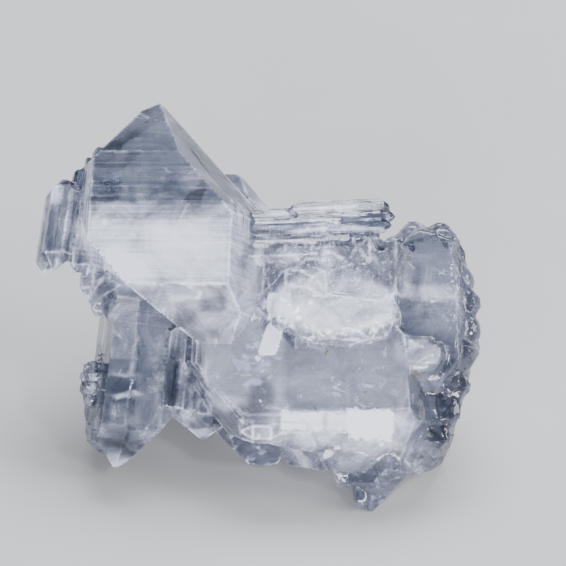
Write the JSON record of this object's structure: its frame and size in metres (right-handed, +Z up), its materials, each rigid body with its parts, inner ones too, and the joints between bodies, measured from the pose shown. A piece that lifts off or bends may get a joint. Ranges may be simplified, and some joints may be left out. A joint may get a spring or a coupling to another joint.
{
  "type": "faden quartz cluster",
  "caption": "Cluster of clear to milky quartz crystals grown together, with one large pointed crystal, a bundle of rods and a flat broken face to rest on.",
  "frame": {"origin": "under the middle of the whole cluster, on the surface that it rests on", "axes": "+Z up, +X to the right and -Y to the front, the side that shows the large striated face"},
  "size_m": [0.0523, 0.0382, 0.0323],
  "materials": {
    "quartz": "clear to milky natural quartz, with glassy faces and fine growth lines"
  },
  "bodies": {
    "root": {"quartz_cluster": "quartz"}
  },
  "joints": []
}
